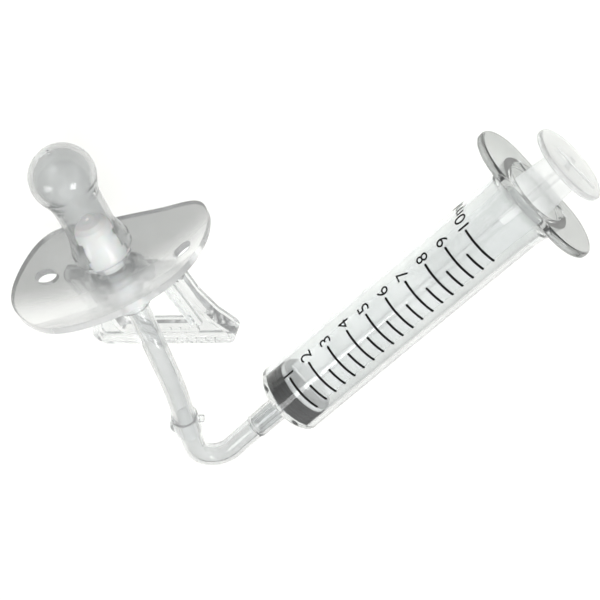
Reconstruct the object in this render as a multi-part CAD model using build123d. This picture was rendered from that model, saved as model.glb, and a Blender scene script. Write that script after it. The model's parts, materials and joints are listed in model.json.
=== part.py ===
from build123d import *
import math
import os

# Medicine-feeding set lying on a table: a 10 ml oral syringe, a soft tube and a pacifier with a swing handle.
# Millimetres. +Z is up, the table is z = 0, +X runs from the syringe's nozzle towards its thumb disc, and the
# origin is the middle of the footprint of everything but the tube.

# ---- syringe: its own frame has the axis on +Z, the front shoulder at z = 0 and the finger wings along X
BARREL_OD = 17.0
BARREL_ID = 14.5
BARREL_LENGTH = 75.5
FRONT_WALL = 1.0
FLARE_LENGTH = 5.5
FLARE_OD = 18.8
MOUTH_OD = 15.4
FLANGE_SPAN = 33.5
FLANGE_WIDTH = 19.0
FLANGE_THICKNESS = 1.9
FLANGE_COLLAR_OD = 21.0
NOZZLE_LENGTH = 9.4
NOZZLE_ROOT_OD = 4.6
NOZZLE_TIP_OD = 4.0
NOZZLE_BORE = 2.0
NOZZLE_SKIRT_OD = 8.4
NOZZLE_SKIRT_LENGTH = 1.5
WING_TILT = 29.6
RUNNING_GAP = 0.05

# ---- plunger: a rubber stopper snapped on the head of a cross-ribbed rod
STOPPER_FRONT = 1.1
STOPPER_LENGTH = 4.4
STOPPER_BACK = STOPPER_FRONT + STOPPER_LENGTH
STOPPER_RIB_OD = BARREL_ID - 0.06
STOPPER_GROOVE_OD = 13.5
SOCKET_OD = 6.4
SOCKET_MOUTH_OD = 4.2
SOCKET_DEPTH = 3.2
ROD_FLANGE_OD = 13.6
ROD_FLANGE_THICKNESS = 1.1
RIB_THICKNESS = 1.5
RIB_SPAN_FRONT = 10.4
RIB_SPAN_BACK = 8.4
DISC_OD = 18.3
DISC_THICKNESS = 1.4
DISC_BACK = BARREL_LENGTH + 9.6
RIDGE_LENGTH = 11.0
RIDGE_WIDTH = 0.5
RIDGE_HEIGHT = 0.3
RIDGE_SHIFT = 1.6
PIP_OD = 1.4

# ---- nozzle sleeve, tube and tube clip
SLEEVE_OD = 5.5
SLEEVE_START = -NOZZLE_SKIRT_LENGTH - 0.1
SLEEVE_END = -10.3
TUBE_OD = 5.0
CLIP_OD = 6.0
CLIP_LENGTH = 6.6
CLIP_RUN = 5

# ---- pacifier: its own frame has the nipple on +Z, +Y up the shield and the shield's middle at z = 0
SHIELD_THICKNESS = 1.4
SHIELD_WIDTH_CURVE = 58.8
SHIELD_HEIGHT_CURVE = 47.6
SHIELD_FRONT = -1.6
SHIELD_BACK = SHIELD_FRONT - SHIELD_THICKNESS
SHIELD_SHIFT = -2.4
SHIELD_RISE = 1.2
SHIELD_YAW = 2.6
BOSS_BACK = -5.2
SEAT_OD = 7.4
SEAT_TOP = 1.0
VENT_OD = 4.4
VENT_OFFSET = 16.2
VENT_RISE = 1.6
BALL_OD = 13.9
BALL_CENTRE = 21.9
STEM_OD = 10.3
STEM_ROOT_OD = 11.0
BEAD_OD = 12.7
NIPPLE_WALL = 1.1
OUTLET = 0.6
INSERT_OD = 8.0
INSERT_TOP = 10.6
NECK_OD = 4.6
NECK_END = -8.6
NECK_BORE = 2.2
HUB_OD = 8.8
HUB_FLANGE_OD = 10.8
HUB_END = -13.4
TUBE_SEAT = -11.4

# ---- handle: a collar that turns on the hub, and a grip ring that swings on two pins in the collar's lugs
COLLAR_START = -5.5
COLLAR_END = -8.3
COLLAR_OD = 13.4
LUG_HALF_SPAN = 8.3
LUG_HEIGHT = 4.6
HINGE_Z = -6.8
HINGE_DROP = 1.7
PIN_OD = 2.2
PIN_START = 5.0
PIN_END = 13.2
ARM_GAP = 0.3
ARM_HALF_SPAN = 14.0
OPENING_HALF_WIDTH = 9.0
ARM_FRONT = 1.85
HANDLE_HALF_WIDTH = 17.8
HANDLE_BACK = -21.2
HANDLE_HEIGHT = 3.8
BAR_THICKNESS = 4.9
RIM_WIDTH = 1.3
CHANNEL_DEPTH = 0.6
GRIP_OD = 1.3
GRIP_PITCH = 2.4
GRIP_COUNT = 6
SWING_REST = -8.5
COLLAR_TURN = 9.2

# ---- places on the table
BARREL_FRONT = Vector(-34.93, -35.28, 8.55)
PACIFIER_CENTRE = Vector(-26.69, 24.35, 14.67)
PACIFIER_HEADING = 25.4
PACIFIER_ROLL = 20.3

# The barrel rests on its front edge and on the lower finger wing, which gives the syringe's tilt.
WING_REACH = (FLANGE_SPAN - FLANGE_WIDTH) / 2 * math.sin(math.radians(WING_TILT)) + FLANGE_WIDTH / 2
SYRINGE_TILT = math.degrees(math.asin((WING_REACH - BARREL_OD / 2) / BARREL_LENGTH))


def direction(heading, rise=0.0):
    """Unit vector at an angle from +X in plan, and an angle above the table."""
    plan = math.radians(heading)
    lift = math.radians(rise)
    return Vector(math.cos(plan) * math.cos(lift), math.sin(plan) * math.cos(lift), math.sin(lift))


def syringe_plane():
    axis = direction(0, SYRINGE_TILT)
    level = Vector(0, -1, 0)
    lift = axis.cross(level) * -1
    wing = math.radians(WING_TILT)
    return Plane(origin=BARREL_FRONT, x_dir=level * math.cos(wing) + lift * math.sin(wing), z_dir=axis)


def pacifier_plane(roll):
    axis = direction(90 - PACIFIER_HEADING)
    level = direction(180 - PACIFIER_HEADING)
    turn = math.radians(roll)
    return Plane(
        origin=PACIFIER_CENTRE,
        x_dir=level * math.cos(turn) - Vector(0, 0, 1) * math.sin(turn),
        z_dir=axis,
    )


SYRINGE = syringe_plane()
PACIFIER = pacifier_plane(PACIFIER_ROLL)
COLLAR = pacifier_plane(PACIFIER_ROLL + COLLAR_TURN)
SLEEVE_MOUTH = SYRINGE.from_local_coords(Vector(0, 0, SLEEVE_END))
SLEEVE_APPROACH = SYRINGE.from_local_coords(Vector(0, 0, SLEEVE_END - 5.0))
HUB_SEAT = PACIFIER.from_local_coords(Vector(0, 0, TUBE_SEAT))
HUB_APPROACH = PACIFIER.from_local_coords(Vector(0, 0, TUBE_SEAT - 5.6))

# The tube's route from the nozzle sleeve to the hub: straight out, a tight turn, then a long gentle run.
TUBE_ROUTE = [
    SLEEVE_MOUTH,
    SLEEVE_APPROACH,
    Vector(-55.33, -35.58, 7.3),
    Vector(-58.53, -33.08, 7.4),
    Vector(-58.73, -28.98, 8.1),
    Vector(-55.23, -24.08, 9.7),
    Vector(-48.9, -15.6, 13.2),
    Vector(-43.1, -7.7, 16.1),
    Vector(-39.1, -1.2, 17.8),
    Vector(-35.4, 5.4, 17.6),
    HUB_APPROACH,
    HUB_SEAT,
]


def solid_of_turn(points):
    """Solid of revolution about Z from (radius, z) points, closed on the axis at both ends."""
    loop = [(0, points[0][1])] + points + [(0, points[-1][1])]
    return revolve(Plane.XZ * make_face(Polyline(loop, close=True)), Axis.Z)


def hollow_of_turn(points):
    """Solid of revolution about Z from a closed loop of (radius, z) points that stays off the axis."""
    return revolve(Plane.XZ * make_face(Polyline(points, close=True)), Axis.Z)


def peg(diameter, start, end):
    """Cylinder on the Z axis between two heights."""
    return Pos(0, 0, (start + end) / 2) * Cylinder(diameter / 2, abs(end - start))


def make_barrel():
    radius = BARREL_OD / 2
    bore = BARREL_ID / 2
    flange_front = BARREL_LENGTH - FLANGE_THICKNESS
    bead = flange_front - 2.0
    shell = hollow_of_turn([
        (NOZZLE_BORE / 2, -NOZZLE_LENGTH),
        (NOZZLE_TIP_OD / 2 - 0.2, -NOZZLE_LENGTH),
        (NOZZLE_TIP_OD / 2, 0.3 - NOZZLE_LENGTH),
        (NOZZLE_ROOT_OD / 2, -NOZZLE_SKIRT_LENGTH),
        (NOZZLE_SKIRT_OD / 2 - 1.2, -NOZZLE_SKIRT_LENGTH),
        (NOZZLE_SKIRT_OD / 2, 0),
        (radius - 0.8, 0),
        (radius, 0.8),
        (radius, flange_front - FLARE_LENGTH),
        (FLARE_OD / 2, flange_front),
        (FLARE_OD / 2, BARREL_LENGTH),
        (MOUTH_OD / 2, BARREL_LENGTH),
        (bore, BARREL_LENGTH - 1.2),
        (bore, bead + 0.6),
        (bore - 0.2, bead),
        (bore, bead - 0.6),
        (bore, FRONT_WALL + 0.2),
        (bore - 0.2, FRONT_WALL),
        (NOZZLE_BORE / 2, FRONT_WALL),
    ])
    wings = SlotOverall(FLANGE_SPAN, FLANGE_WIDTH) + Circle(FLANGE_COLLAR_OD / 2)
    flange = extrude(Pos(0, 0, flange_front) * wings, FLANGE_THICKNESS)
    faces = flange.edges().group_by(Axis.Z)
    flange = fillet(faces[0] + faces[-1], 0.7)
    return shell + (flange - peg(MOUTH_OD, 0, BARREL_LENGTH + 1))


def make_stopper():
    rib = STOPPER_RIB_OD / 2
    groove = STOPPER_GROOVE_OD / 2
    socket = SOCKET_OD / 2
    front = STOPPER_FRONT
    back = STOPPER_BACK
    body = solid_of_turn([
        (rib - 0.7, front),
        (rib, front + 0.3),
        (rib, front + 1.2),
        (groove, front + 1.5),
        (groove, front + 1.8),
        (rib - 0.15, front + 2.0),
        (rib - 0.15, front + 2.6),
        (groove, front + 2.8),
        (groove, front + 3.1),
        (rib, front + 3.4),
        (rib, back - 0.2),
        (rib - 0.3, back),
    ])
    hollow = solid_of_turn([
        (socket - 0.5, back - SOCKET_DEPTH),
        (socket, back - SOCKET_DEPTH + 0.5),
        (socket, back - 1.1),
        (SOCKET_MOUTH_OD / 2, back - 0.9),
        (SOCKET_MOUTH_OD / 2, back + 1),
    ])
    return body - hollow


def make_rod():
    head = SOCKET_OD / 2 - RUNNING_GAP
    neck = SOCKET_MOUTH_OD / 2 - RUNNING_GAP
    head_front = STOPPER_BACK - SOCKET_DEPTH + 0.15
    plate_front = STOPPER_BACK + 0.1
    plate_back = plate_front + ROD_FLANGE_THICKNESS
    disc_front = DISC_BACK - DISC_THICKNESS
    front_half = RIB_SPAN_FRONT / 2
    back_half = RIB_SPAN_BACK / 2
    shaft = solid_of_turn([
        (head - 0.6, head_front),
        (head, head_front + 0.5),
        (head, STOPPER_BACK - 1.25),
        (neck, STOPPER_BACK - 1.05),
        (neck, plate_front),
        (ROD_FLANGE_OD / 2, plate_front),
        (ROD_FLANGE_OD / 2, plate_back),
    ])
    side = Polyline(
        (-front_half, plate_back - 0.2),
        (front_half, plate_back - 0.2),
        (front_half, BARREL_LENGTH - 3),
        (back_half, disc_front + 0.2),
        (-back_half, disc_front + 0.2),
        (-front_half, BARREL_LENGTH - 3),
        close=True,
    )
    rib = extrude(Plane.XZ * make_face(side), RIB_THICKNESS / 2, both=True)
    disc = peg(DISC_OD, disc_front, DISC_BACK)
    disc = fillet(disc.edges(), 0.55)
    ridge = Pos(RIDGE_SHIFT, 0, DISC_BACK) * Box(RIDGE_LENGTH, RIDGE_WIDTH, 2 * RIDGE_HEIGHT)
    pip = peg(PIP_OD, DISC_BACK - 0.3, DISC_BACK + 0.45)
    return shaft + rib + Rot(0, 0, 90) * rib + disc + ridge + pip


def make_sleeve():
    tip = NOZZLE_TIP_OD / 2 + RUNNING_GAP
    outer = SLEEVE_OD / 2
    return hollow_of_turn([
        (NOZZLE_ROOT_OD / 2 + RUNNING_GAP, SLEEVE_START),
        (outer - 0.2, SLEEVE_START),
        (outer, SLEEVE_START - 0.3),
        (outer, SLEEVE_END),
        (1.5, SLEEVE_END),
        (1.5, SLEEVE_END + 0.5),
        (tip, -NOZZLE_LENGTH - 0.3),
        (tip, 0.3 - NOZZLE_LENGTH),
    ])


def corner_radii(route):
    """As large an arc at each inner point as its two runs allow."""
    radii = []
    for before, point, after in zip(route, route[1:], route[2:]):
        shorter = min((point - before).length, (after - point).length)
        half_turn = math.radians((point - before).get_angle(after - point)) / 2
        radii.append(0.45 * shorter / math.tan(half_turn))
    return radii


def make_tube():
    radii = corner_radii(TUBE_ROUTE)
    path = FilletPolyline(*TUBE_ROUTE, radius=radii)
    start = Plane(origin=TUBE_ROUTE[0], z_dir=TUBE_ROUTE[1] - TUBE_ROUTE[0])
    tube = sweep(start * Circle(TUBE_OD / 2), path=path)
    section = math.pi * (TUBE_OD / 2) ** 2
    print("tube radii", [round(radius, 1) for radius in radii])
    print("tube length", round(path.length, 2), "volume ratio", round(tube.volume / section / path.length, 4))
    return tube


def make_clip():
    """Clear collar clasped round the tube, with a lens-shaped edge on one side and a pull nub on the other."""
    start = TUBE_ROUTE[CLIP_RUN]
    end = TUBE_ROUTE[CLIP_RUN + 1]
    here = Plane(origin=(start + end) * 0.5, x_dir=(end - start).cross(Vector(0, 0, 1)), z_dir=end - start)
    collar = fillet(peg(CLIP_OD, -CLIP_LENGTH / 2, CLIP_LENGTH / 2).edges(), 0.4)
    lens = Pos(-0.7, 0, -0.2) * scale(Sphere(1), by=(3.1, 1.9, 3.2))
    nub = Pos(CLIP_OD / 2 + 0.2, 0, 0.4) * Rot(0, 20, 0) * Box(1.9, 1.5, 1.5)
    nub = fillet(nub.edges(), 0.35)
    clip = collar + lens + nub - peg(TUBE_OD + 0.2, -CLIP_LENGTH, CLIP_LENGTH)
    return here.location * clip


def make_shield():
    wide = SHIELD_WIDTH_CURVE
    bow = Pos(0, wide) * (Circle(wide + SHIELD_THICKNESS) - Circle(wide)) & Rectangle(56, 40)
    spin = Axis((0, SHIELD_HEIGHT_CURVE, 0), (1, 0, 0))
    shell = Rot(90, 0, 0) * revolve(bow, spin, 76).rotate(spin, -38)
    edge = Spline(
        (0, 25.0),
        (-11.7, 20.3),
        (-19.7, 11.4),
        (-22.0, 0),
        (-18.1, -10.4),
        (-7.7, -13.4),
        (0, -13.9),
        (7.7, -13.4),
        (18.1, -10.4),
        (22.0, 0),
        (19.7, 11.4),
        (11.7, 20.3),
        periodic=True,
    )
    shield = shell & extrude(make_face(edge), 40, both=True)
    for side in (-1, 1):
        shield -= Pos(side * VENT_OFFSET, VENT_RISE, 0) * Cylinder(VENT_OD / 2, 20)
    shield = Pos(SHIELD_SHIFT, SHIELD_RISE, SHIELD_FRONT) * Rot(0, SHIELD_YAW, 0) * shield
    shield += peg(HUB_OD, BOSS_BACK, SHIELD_FRONT - 0.5)
    shield += solid_of_turn([
        (SEAT_OD / 2, SHIELD_BACK),
        (SEAT_OD / 2, SEAT_TOP - 1.8),
        (STEM_ROOT_OD / 2 - 0.3, SEAT_TOP - 0.8),
        (STEM_ROOT_OD / 2 - 0.3, SEAT_TOP - 0.05),
    ])
    return shield - peg(NECK_OD + 0.1, -10, 10)


def make_nipple():
    """Hollow silicone teat: ball, stem and a bead at the root, with a small outlet at the tip."""
    def skin(inset):
        ball = Pos(0, 0, BALL_CENTRE) * Sphere(BALL_OD / 2 - inset)
        stem = solid_of_turn([
            (STEM_ROOT_OD / 2 - inset, SEAT_TOP),
            (STEM_OD / 2 - inset, SEAT_TOP + 5),
            (STEM_OD / 2 - inset, BALL_CENTRE - 8),
            (STEM_OD / 2 - inset + 0.1, BALL_CENTRE - 6.2),
            (STEM_OD / 2 - inset + 0.35, BALL_CENTRE - 4.9),
            (STEM_OD / 2 - inset + 0.75, BALL_CENTRE - 3.9),
            (BALL_OD / 2 - inset - 0.66, BALL_CENTRE - 2.9),
            (BALL_OD / 2 - inset - 2.5, BALL_CENTRE),
        ])
        return ball + stem
    bead = solid_of_turn([
        (STEM_ROOT_OD / 2, SEAT_TOP),
        (BEAD_OD / 2, SEAT_TOP + 1.4),
        (BEAD_OD / 2, SEAT_TOP + 3.2),
        (STEM_OD / 2, SEAT_TOP + 7.0),
    ])
    nipple = skin(0) + bead - skin(NIPPLE_WALL)
    return nipple - peg(STEM_OD - 2 * NIPPLE_WALL, SEAT_TOP - 1, SEAT_TOP + 5) - peg(OUTLET, BALL_CENTRE, 40)


def make_insert():
    head = INSERT_OD / 2
    neck = NECK_OD / 2
    bore = NECK_BORE / 2
    return hollow_of_turn([
        (bore, NECK_END),
        (neck - 0.5, NECK_END),
        (neck, NECK_END + 0.8),
        (neck, SEAT_TOP),
        (head, SEAT_TOP),
        (head, INSERT_TOP - 2.6),
        (head - 0.4, INSERT_TOP - 1.4),
        (head - 1.2, INSERT_TOP - 0.5),
        (head - 2.4, INSERT_TOP),
        (0.4, INSERT_TOP + 0.1),
        (0.4, INSERT_TOP - 1.2),
        (bore, INSERT_TOP - 2.2),
    ])


def make_hub():
    outer = HUB_OD / 2
    flange = HUB_FLANGE_OD / 2
    bore = NECK_OD / 2 + RUNNING_GAP
    seat = TUBE_OD / 2 + RUNNING_GAP
    return hollow_of_turn([
        (bore, BOSS_BACK - 0.05),
        (outer, BOSS_BACK - 0.05),
        (outer, COLLAR_END - 0.1),
        (flange, COLLAR_END - 0.1),
        (flange, COLLAR_END - 0.7),
        (outer - 0.4, COLLAR_END - 1.6),
        (outer - 0.8, HUB_END),
        (seat + 0.3, HUB_END),
        (seat, HUB_END + 0.8),
        (seat, TUBE_SEAT),
        (bore, TUBE_SEAT),
    ])


def make_collar():
    body = peg(COLLAR_OD, COLLAR_START, COLLAR_END)
    span = 2 * LUG_HALF_SPAN
    body += Pos(0, -HINGE_DROP, (COLLAR_START + COLLAR_END) / 2) * Box(span, LUG_HEIGHT, COLLAR_START - COLLAR_END)
    body -= peg(HUB_OD + 2 * RUNNING_GAP, COLLAR_START + 1, COLLAR_END - 1)
    return body - pin_bore(PIN_OD, 0, PIN_END)


def pin_bore(diameter, start, end):
    """Two cylinders on the hinge axis, one on each side."""
    one = Rot(0, 90, 0) * peg(diameter, start, end)
    other = Rot(0, -90, 0) * peg(diameter, start, end)
    return Pos(0, -HINGE_DROP, HINGE_Z) * (one + other)


def make_pin(side):
    pin = Rot(0, side * 90, 0) * peg(PIN_OD, PIN_START, PIN_END)
    return Pos(0, -HINGE_DROP, HINGE_Z) * pin


def make_handle():
    inner = LUG_HALF_SPAN + ARM_GAP
    outer = ARM_HALF_SPAN
    wide = HANDLE_HALF_WIDTH
    bar = HANDLE_BACK + BAR_THICKNESS
    opening = OPENING_HALF_WIDTH
    outline = Polyline(
        (inner, ARM_FRONT),
        (outer, ARM_FRONT),
        (outer, -6.9),
        (outer + 1.4, -13.4),
        (wide, HANDLE_BACK + 3.2),
        (wide, HANDLE_BACK),
        (-wide, HANDLE_BACK),
        (-wide, HANDLE_BACK + 3.2),
        (-outer - 1.4, -13.4),
        (-outer, -6.9),
        (-outer, ARM_FRONT),
        (-inner, ARM_FRONT),
        (-opening, bar),
        (opening, bar),
        close=True,
    )
    ring = extrude(Plane.XZ * make_face(outline), HANDLE_HEIGHT / 2, both=True)
    web = Plane.XZ * offset(make_face(outline), -RIM_WIDTH)
    channel = extrude(web, HANDLE_HEIGHT, both=True) - extrude(web, HANDLE_HEIGHT / 2 - CHANNEL_DEPTH, both=True)
    corners = ring.edges().filter_by(Axis.Y)
    ring = fillet(corners.filter_by_position(Axis.Z, HANDLE_BACK - 0.1, HANDLE_BACK + 0.1), 2.8)
    corners = ring.edges().filter_by(Axis.Y)
    ring = fillet(corners.filter_by_position(Axis.Z, bar - 0.1, bar + 0.1), 1.2)
    ends = ring.edges().filter_by(Axis.X).filter_by_position(Axis.Z, ARM_FRONT - 0.1, ARM_FRONT + 0.1)
    ring = fillet(ends, 1.3)
    ring -= channel
    ring -= Rot(0, 90, 0) * peg(PIN_OD + 2 * RUNNING_GAP, -20, 20)
    for index in range(GRIP_COUNT):
        at = -0.6 - GRIP_PITCH * index
        ring += Pos(at, -0.2, HANDLE_BACK + 0.1) * Sphere(GRIP_OD / 2)
        if index < GRIP_COUNT - 1:
            ring += Pos(at - GRIP_PITCH / 2, 1.2, HANDLE_BACK + 0.1) * Sphere(GRIP_OD / 2)
    return Pos(0, -HINGE_DROP, HINGE_Z) * Rot(SWING_REST, 0, 0) * ring


def main():
    nodes = {
        "barrel": SYRINGE.location * make_barrel(),
        "plunger_stopper": SYRINGE.location * make_stopper(),
        "plunger_rod": SYRINGE.location * make_rod(),
        "nozzle_sleeve": SYRINGE.location * make_sleeve(),
        "feeding_tube": make_tube(),
        "tube_clip": make_clip(),
        "shield": PACIFIER.location * make_shield(),
        "nipple": PACIFIER.location * make_nipple(),
        "nipple_insert": PACIFIER.location * make_insert(),
        "shield_hub": PACIFIER.location * make_hub(),
        "handle_collar": COLLAR.location * make_collar(),
        "hinge_pin_left": COLLAR.location * make_pin(1),
        "hinge_pin_right": COLLAR.location * make_pin(-1),
        "handle_ring": COLLAR.location * make_handle(),
    }
    os.makedirs("parts", exist_ok=True)
    for name, shape in nodes.items():
        export_step(shape, f"parts/{name}.step")
    return nodes


NODES = main()
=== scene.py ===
import bpy
import json
import math
from mathutils import Matrix, Vector


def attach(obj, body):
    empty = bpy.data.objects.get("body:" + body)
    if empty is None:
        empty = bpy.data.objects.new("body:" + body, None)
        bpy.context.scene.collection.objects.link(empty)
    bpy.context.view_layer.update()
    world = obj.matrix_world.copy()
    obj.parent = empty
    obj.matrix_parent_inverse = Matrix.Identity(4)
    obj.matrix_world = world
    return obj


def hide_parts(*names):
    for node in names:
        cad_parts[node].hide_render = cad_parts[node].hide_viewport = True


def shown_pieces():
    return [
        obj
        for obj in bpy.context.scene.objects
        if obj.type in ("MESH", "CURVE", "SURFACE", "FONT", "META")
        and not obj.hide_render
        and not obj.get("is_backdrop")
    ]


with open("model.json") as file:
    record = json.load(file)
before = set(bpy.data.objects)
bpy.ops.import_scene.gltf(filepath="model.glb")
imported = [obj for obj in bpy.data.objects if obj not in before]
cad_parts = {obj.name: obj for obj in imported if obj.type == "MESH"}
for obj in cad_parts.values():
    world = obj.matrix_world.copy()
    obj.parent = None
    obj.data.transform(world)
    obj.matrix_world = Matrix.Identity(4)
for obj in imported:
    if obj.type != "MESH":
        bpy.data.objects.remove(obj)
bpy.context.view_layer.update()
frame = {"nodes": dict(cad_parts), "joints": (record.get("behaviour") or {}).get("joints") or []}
NODES = frame["nodes"]
JOINTS = {joint["name"]: joint for joint in frame["joints"]}
scene = bpy.context.scene


# ---- camera --------------------------------------------------------------------------------------
CAMERA_PLACE = (0.153544, 0.198289, 0.36177)
CAMERA_BACK = (0.373, 0.485, 0.791)
CAMERA_RIGHT = (0.681, -0.722, 0.122)
CAMERA_LENS = 124.62


def make_camera():
    data = bpy.data.cameras.new("photo_camera")
    data.sensor_width = 36.0
    data.lens = CAMERA_LENS
    data.clip_start = 0.01
    data.clip_end = 20.0
    camera = bpy.data.objects.new("photo_camera", data)
    scene.collection.objects.link(camera)
    back = Vector(CAMERA_BACK).normalized()
    right = Vector(CAMERA_RIGHT)
    right = (right - back * right.dot(back)).normalized()
    up = back.cross(right)
    turn = Matrix((right, up, back)).transposed().to_4x4()
    camera.matrix_world = Matrix.Translation(CAMERA_PLACE) @ turn
    scene.camera = camera


make_camera()


# ---- materials -----------------------------------------------------------------------------------
CLOUD_SCALE = 90.0
WEAR_SCALE = 4 * CLOUD_SCALE
GRAIN_DEPTH = 0.0002
GLOW_DEPTH = 0.002


def socket(shader, name, value):
    if name in shader.inputs:
        shader.inputs[name].default_value = value


def noise(tree, scale, detail, place):
    node = tree.nodes.new("ShaderNodeTexNoise")
    node.inputs["Scale"].default_value = scale
    node.inputs["Detail"].default_value = detail
    tree.links.new(place.outputs["Object"], node.inputs["Vector"])
    return node


def ramp(tree, source, low, high, start=0.3, end=0.7):
    node = tree.nodes.new("ShaderNodeValToRGB")
    node.color_ramp.elements[0].position = start
    node.color_ramp.elements[1].position = end
    node.color_ramp.elements[0].color = (*low, 1)
    node.color_ramp.elements[1].color = (*high, 1)
    tree.links.new(source, node.inputs["Fac"])
    return node


def span(tree, source, low, high):
    node = tree.nodes.new("ShaderNodeMapRange")
    node.inputs["From Min"].default_value = 0.3
    node.inputs["From Max"].default_value = 0.7
    node.inputs["To Min"].default_value = low
    node.inputs["To Max"].default_value = high
    tree.links.new(source, node.inputs["Value"])
    return node


def place_shade(tree, place, colour, axis, start, end, shade_tint):
    """Painted shade: multiply a grey tint into a colour along one object axis, standing in for how light
    falls on the piece, not a real change in the plastic.
    """
    split = tree.nodes.new("ShaderNodeSeparateXYZ")
    tree.links.new(place.outputs["Object"], split.inputs["Vector"])
    shade_amount = tree.nodes.new("ShaderNodeMapRange")
    shade_amount.interpolation_type = "SMOOTHSTEP"
    shade_amount.inputs["From Min"].default_value = start
    shade_amount.inputs["From Max"].default_value = end
    tree.links.new(split.outputs[axis], shade_amount.inputs["Value"])
    # Painted shade: the tint is multiplied into the base colour in proportion to the position along the axis.
    mix = tree.nodes.new("ShaderNodeMix")
    mix.data_type = "RGBA"
    mix.blend_type = "MULTIPLY"
    factor = mix.inputs[0]
    plain, painted_shade_socket = mix.inputs[6:8]
    painted_shade_socket.default_value = (*shade_tint, 1)
    tree.links.new(shade_amount.outputs["Result"], factor)
    tree.links.new(colour, plain)
    return mix.outputs[2]


def moulded(name, low, high, rough, transmission, ior, grain, bump=0.02, sub=0.0, specular=0.5, shade=None):
    """Moulded plastic, silicone or rubber: soft clouding in the colour, uneven gloss and a fine grain; where
    shade is given, a painted shade along one axis is multiplied into the colour.
    """
    material = bpy.data.materials.new(name)
    material.use_nodes = True
    tree = material.node_tree
    shader = tree.nodes["Principled BSDF"]
    place = tree.nodes.new("ShaderNodeTexCoord")
    clouds = noise(tree, CLOUD_SCALE, 3.0, place)
    colour = ramp(tree, clouds.outputs["Fac"], low, high)
    # Painted shade: where shade is given, the colour is darkened along one axis in place of real lighting.
    base = place_shade(tree, place, colour.outputs["Color"], *shade) if shade else colour.outputs["Color"]
    tree.links.new(base, shader.inputs["Base Color"])
    wear = noise(tree, WEAR_SCALE, 4.0, place)
    gloss = span(tree, wear.outputs["Fac"], *rough)
    tree.links.new(gloss.outputs["Result"], shader.inputs["Roughness"])
    fine = noise(tree, grain, 2.0, place)
    relief = tree.nodes.new("ShaderNodeBump")
    relief.inputs["Strength"].default_value = bump
    relief.inputs["Distance"].default_value = GRAIN_DEPTH
    tree.links.new(fine.outputs["Fac"], relief.inputs["Height"])
    tree.links.new(relief.outputs["Normal"], shader.inputs["Normal"])
    socket(shader, "Transmission Weight", transmission)
    socket(shader, "IOR", ior)
    socket(shader, "Specular IOR Level", specular)
    if sub:
        socket(shader, "Subsurface Weight", sub)
        socket(shader, "Subsurface Scale", GLOW_DEPTH)
    return material


# Painted shade: the barrel's finger wings are darkened by a grey tint from object x = 35.5 mm to 38.5 mm,
# standing in for lighting.
CLEAR = moulded("clear_plastic_barrel_with_painted_shade", (0.78, 0.795, 0.795), (0.85, 0.862, 0.862), (0.03, 0.08),
                transmission=0.97, ior=1.43, grain=900.0, shade=("X", 0.0355, 0.0385, (0.62, 0.625, 0.62)))
SHELL = moulded("clear_plastic_parts", (0.80, 0.81, 0.81), (0.87, 0.88, 0.88), (0.05, 0.12),
                transmission=0.90, ior=1.42, grain=700.0)
# Painted shade: the shield is darkened by a grey tint towards its low edge (starting at z = 28 mm, full at 14
# mm), standing in for lighting, not its plastic.
SHIELD = moulded("clear_plastic_shield_with_painted_shade", (0.93, 0.94, 0.94), (0.98, 0.98, 0.975), (0.05, 0.12),
                 transmission=0.72, ior=1.42, grain=700.0, shade=("Z", 0.028, 0.014, (0.55, 0.555, 0.555)))
ROD = moulded("frosted_plastic_rod", (0.78, 0.79, 0.785), (0.86, 0.87, 0.865), (0.12, 0.24),
              transmission=0.74, ior=1.42, grain=800.0)
SOFT = moulded("clear_silicone_teat", (0.62, 0.63, 0.63), (0.71, 0.72, 0.72), (0.06, 0.13),
               transmission=0.90, ior=1.40, grain=600.0)
TUBE = moulded("clear_silicone_tube", (0.72, 0.73, 0.73), (0.81, 0.82, 0.82), (0.05, 0.12),
               transmission=0.92, ior=1.38, grain=600.0)
WHITE = moulded("white_plastic_insert", (0.92, 0.93, 0.92), (0.98, 0.985, 0.98), (0.35, 0.5),
                transmission=0.20, ior=1.45, grain=500.0, bump=0.05, sub=0.3)
RUBBER = moulded("black_rubber_stopper", (0.0, 0.0, 0.0), (0.003, 0.003, 0.003), (0.25, 0.4),
                 transmission=0.0, ior=1.3, grain=900.0, bump=0.04, specular=0.05)
INK = moulded("black_scale_ink", (0.001, 0.001, 0.001), (0.008, 0.008, 0.008), (0.4, 0.6),
              transmission=0.0, ior=1.45, grain=1500.0, bump=0.05, specular=0.1)

for node, material in {
    "barrel": CLEAR,
    "plunger_stopper": RUBBER,
    "plunger_rod": ROD,
    "nozzle_sleeve": TUBE,
    "tube_clip": SHELL,
    "shield": SHIELD,
    "nipple": SOFT,
    "nipple_insert": WHITE,
    "shield_hub": SHELL,
    "handle_collar": SHELL,
    "hinge_pin_left": SHELL,
    "hinge_pin_right": SHELL,
    "handle_ring": SHELL,
}.items():
    slots = NODES[node].material_slots
    if not slots:
        NODES[node].data.materials.append(material)
    for slot in slots:
        slot.material = material


# ---- feeding tube: a hollow tube swept along one smooth spline -----------------------------------
TUBE_RADIUS = 0.0025
BORE_RADIUS = 0.0016
ROUTE = [
    (-0.045211, -0.035280, 0.007925),
    (-0.050202, -0.035280, 0.007622),
    (-0.055330, -0.035580, 0.007300),
    (-0.058530, -0.033080, 0.007400),
    (-0.058730, -0.028980, 0.008100),
    (-0.055230, -0.024080, 0.009700),
    (-0.048900, -0.015600, 0.013200),
    (-0.043100, -0.007700, 0.016100),
    (-0.039100, -0.001200, 0.017800),
    (-0.035400, 0.005400, 0.017600),
    (-0.033982, 0.008993, 0.014670),
    (-0.031580, 0.014052, 0.014670),
]


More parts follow.
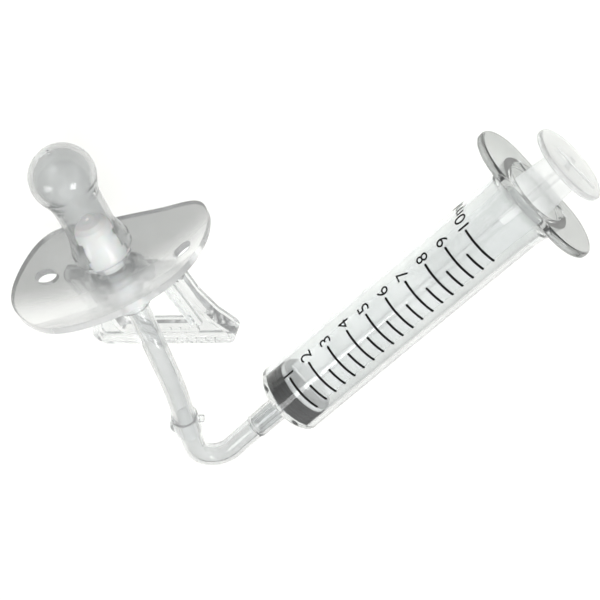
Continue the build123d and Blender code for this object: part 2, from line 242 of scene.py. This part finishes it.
def spline_points(route):
    """The route's smooth line, read back from a NURBS curve with the route as its control points."""
    curve = bpy.data.curves.new("tube_line", "CURVE")
    curve.dimensions = "3D"
    curve.resolution_u = 12
    spline = curve.splines.new("NURBS")
    spline.points.add(len(route) - 1)
    for point, place in zip(spline.points, route):
        point.co = (*place, 1)
    spline.order_u = 3
    spline.use_endpoint_u = True
    holder = bpy.data.objects.new("tube_line", curve)
    scene.collection.objects.link(holder)
    bpy.context.view_layer.update()
    mesh = bpy.data.meshes.new_from_object(holder)
    points = [vertex.co.copy() for vertex in mesh.vertices]
    bpy.data.meshes.remove(mesh)
    bpy.data.objects.remove(holder)
    return points


def sweep_tube(name, line, outer, inner, sides=40):
    """Hollow tube along a line, with closed ring-shaped ends."""
    heading = (line[1] - line[0]).normalized()
    side = heading.orthogonal().normalized()
    rings = []
    for index, point in enumerate(line):
        before = line[max(index - 1, 0)]
        after = line[min(index + 1, len(line) - 1)]
        heading = (after - before).normalized()
        side = (side - heading * side.dot(heading)).normalized()
        rings.append((point, side.copy(), heading.cross(side)))
    vertices = []
    for radius in (outer, inner):
        for point, across, up in rings:
            for step in range(sides):
                angle = 2 * math.pi * step / sides
                vertices.append(point + (across * math.cos(angle) + up * math.sin(angle)) * radius)
    count = len(line)
    faces = []

    def corner(shell, ring, step):
        return (shell * count + ring) * sides + step % sides

    for ring in range(count - 1):
        for step in range(sides):
            faces.append((corner(0, ring, step), corner(0, ring, step + 1),
                          corner(0, ring + 1, step + 1), corner(0, ring + 1, step)))
            faces.append((corner(1, ring, step + 1), corner(1, ring, step),
                          corner(1, ring + 1, step), corner(1, ring + 1, step + 1)))
    for step in range(sides):
        faces.append((corner(0, 0, step + 1), corner(0, 0, step), corner(1, 0, step), corner(1, 0, step + 1)))
        last = count - 1
        faces.append((corner(0, last, step), corner(0, last, step + 1),
                      corner(1, last, step + 1), corner(1, last, step)))
    mesh = bpy.data.meshes.new(name)
    mesh.from_pydata([tuple(v) for v in vertices], [], faces)
    mesh.validate()
    mesh.update()
    for polygon in mesh.polygons:
        polygon.use_smooth = len(polygon.vertices) == 4
    piece = bpy.data.objects.new(name, mesh)
    scene.collection.objects.link(piece)
    return piece


line = spline_points(ROUTE)
tube = sweep_tube("feeding_tube_visual", line, TUBE_RADIUS, BORE_RADIUS)
tube.data.materials.append(TUBE)
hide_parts("feeding_tube")
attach(tube, "pacifier")


# ---- printed scale on the barrel -----------------------------------------------------------------
AXIS = Vector(JOINTS["plunger_slide"]["axis"]).normalized()
BARREL_RADIUS = 0.0085
STOPPER_BACK = 0.0055
FRONT = Vector(JOINTS["plunger_turn"]["pos_m"]) - AXIS * STOPPER_BACK
LEVEL = Vector((0, 0, 1)).cross(AXIS).normalized()
LIFT = AXIS.cross(LEVEL).normalized()
FACING = math.radians(34.5)
FIRST_MARK = 0.0077
MARK_PITCH = 0.0059
LINE_WIDTH = 0.00056
LINE_START = math.radians(-23.7)
LINE_END = math.radians(39.8)
HALF_LINE_START = math.radians(3.7)
HALF_LINE_END = math.radians(39.2)
FIGURE_START = math.radians(-27.5)
FIGURE_HEIGHT = 0.0030
LAST_MARK = 10
INK_TOP = BARREL_RADIUS + 0.00004
INK_FOOT = BARREL_RADIUS - 0.00002


def on_barrel(along, turn, radius):
    """Point at a distance behind the front shoulder and an angle from the line that faces the viewer."""
    angle = FACING - turn
    return FRONT + AXIS * along + (LIFT * math.cos(angle) + LEVEL * math.sin(angle)) * radius


def ink_arc(name, along, start, end):
    """A raised printed line round the barrel, with round ends."""
    half = LINE_WIDTH / 2
    tip = half / BARREL_RADIUS
    turns = []
    for step in range(9):
        turns.append(start + tip * (1 - math.cos(math.pi / 2 * step / 8)))
    for step in range(1, 40):
        turns.append(start + tip + (end - start - 2 * tip) * step / 40)
    for step in range(9):
        turns.append(end - tip * (1 - math.sin(math.pi / 2 * step / 8)))
    vertices = []
    for turn in turns:
        inset = min(turn - start, end - turn, tip) / tip
        wide = half * math.sqrt(max(1e-4, 1 - (1 - inset) ** 2))
        for radius, offset in ((INK_FOOT, -wide), (INK_TOP, -wide), (INK_TOP, wide), (INK_FOOT, wide)):
            vertices.append(on_barrel(along + offset, turn, radius))
    faces = []
    for index in range(len(turns) - 1):
        a = 4 * index
        for side in range(4):
            faces.append((a + side, a + (side + 1) % 4, a + 4 + (side + 1) % 4, a + 4 + side))
    faces.append((0, 3, 2, 1))
    last = 4 * (len(turns) - 1)
    faces.append((last, last + 1, last + 2, last + 3))
    mesh = bpy.data.meshes.new(name)
    mesh.from_pydata([tuple(v) for v in vertices], [], faces)
    mesh.update()
    piece = bpy.data.objects.new(name, mesh)
    scene.collection.objects.link(piece)
    piece.data.materials.append(INK)
    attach(piece, "syringe")
    return piece


def ink_text(name, words, along, turn, height):
    """Printed figures wrapped on the barrel, tops towards the nozzle, reading away from the scale lines."""
    curve = bpy.data.curves.new(name, "FONT")
    curve.body = words
    curve.size = 1.0
    curve.align_x = "LEFT"
    curve.resolution_u = 6
    holder = bpy.data.objects.new(name + "_flat", curve)
    scene.collection.objects.link(holder)
    bpy.context.view_layer.update()
    flat = bpy.data.meshes.new_from_object(holder)
    bpy.data.objects.remove(holder)
    low = min(v.co.y for v in flat.vertices)
    high = max(v.co.y for v in flat.vertices)
    left = min(v.co.x for v in flat.vertices)
    size = height / (high - low)
    count = len(flat.vertices)
    places = [((v.co.x - left) * size, (v.co.y - (low + high) / 2) * size) for v in flat.vertices]
    vertices = [on_barrel(along - y, turn - x / BARREL_RADIUS, INK_TOP) for x, y in places]
    vertices += [on_barrel(along - y, turn - x / BARREL_RADIUS, INK_FOOT) for x, y in places]
    faces = [tuple(p.vertices) for p in flat.polygons]
    edges = [(a, b) for face in faces for a, b in zip(face, face[1:] + face[:1])]
    inner = set(edges)
    walls = [(b, a, a + count, b + count) for a, b in edges if (b, a) not in inner]
    faces += walls + [tuple(v + count for v in reversed(p.vertices)) for p in flat.polygons]
    mesh = bpy.data.meshes.new(name)
    mesh.from_pydata([tuple(v) for v in vertices], [], faces)
    mesh.update()
    bpy.data.meshes.remove(flat)
    piece = bpy.data.objects.new(name, mesh)
    scene.collection.objects.link(piece)
    piece.data.materials.append(INK)
    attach(piece, "syringe")
    return piece


for mark in range(1, LAST_MARK + 1):
    place = FIRST_MARK + MARK_PITCH * (mark - 1)
    ink_arc(f"scale_line_{mark}", place, LINE_START, LINE_END)
    if mark > 1:
        ink_arc(f"scale_half_line_{mark}", place - MARK_PITCH / 2, HALF_LINE_START, HALF_LINE_END)
    words = "10ml" if mark == LAST_MARK else str(mark)
    ink_text(f"scale_figure_{mark}", words, place, FIGURE_START, FIGURE_HEIGHT)


# ---- floor, light and world ----------------------------------------------------------------------
FLOOR_GAP = 0.0003
HORIZON_SHADES = ((0.02, 0.14), (0.30, 0.52), (0.75, 1.0))
WORLD_STRENGTH = 0.92


def make_floor():
    size = 3.0
    corners = [(-size, -size, 0), (size, -size, 0), (size, size, 0), (-size, size, 0)]
    mesh = bpy.data.meshes.new("studio_floor")
    mesh.from_pydata(corners, [], [(0, 1, 2, 3)])
    floor = bpy.data.objects.new("studio_floor", mesh)
    floor.location = (0, 0, -FLOOR_GAP)
    scene.collection.objects.link(floor)
    material = bpy.data.materials.new("studio_floor")
    material.use_nodes = True
    shader = material.node_tree.nodes["Principled BSDF"]
    shader.inputs["Base Color"].default_value = (0.94, 0.94, 0.915, 1)
    shader.inputs["Roughness"].default_value = 0.9
    socket(shader, "Specular IOR Level", 0.0)
    floor.data.materials.append(material)
    floor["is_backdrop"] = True


def make_light(name, place, size, power, target=(0, 0, 0.01)):
    data = bpy.data.lights.new(name, "AREA")
    data.shape = "RECTANGLE"
    data.size, data.size_y = size
    data.energy = power
    light = bpy.data.objects.new(name, data)
    light.location = place
    light.rotation_mode = "QUATERNION"
    light.rotation_quaternion = (Vector(target) - Vector(place)).to_track_quat("-Z", "Y")
    scene.collection.objects.link(light)


def make_world():
    world = bpy.data.worlds.new("studio")
    world.use_nodes = True
    tree = world.node_tree
    place = tree.nodes.new("ShaderNodeTexCoord")
    split = tree.nodes.new("ShaderNodeSeparateXYZ")
    tree.links.new(place.outputs["Generated"], split.inputs["Vector"])
    shade = tree.nodes.new("ShaderNodeValToRGB")
    stops = shade.color_ramp.elements
    stops.new(0.5)
    for stop, (height, grey) in zip(stops, HORIZON_SHADES):
        stop.position = height
        stop.color = (grey, grey, grey, 1)
    tree.links.new(split.outputs["Z"], shade.inputs["Fac"])
    back = tree.nodes["Background"]
    tree.links.new(shade.outputs["Color"], back.inputs["Color"])
    back.inputs["Strength"].default_value = WORLD_STRENGTH
    scene.world = world


make_floor()
make_light("key_softbox", (0.25, -0.35, 0.75), (0.30, 0.30), 2.6)
make_light("fill_softbox", (-0.55, 0.35, 0.55), (0.25, 0.40), 1.3)
make_world()
scene.view_settings.view_transform = "Standard"

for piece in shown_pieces():
    piece.visible_shadow = False
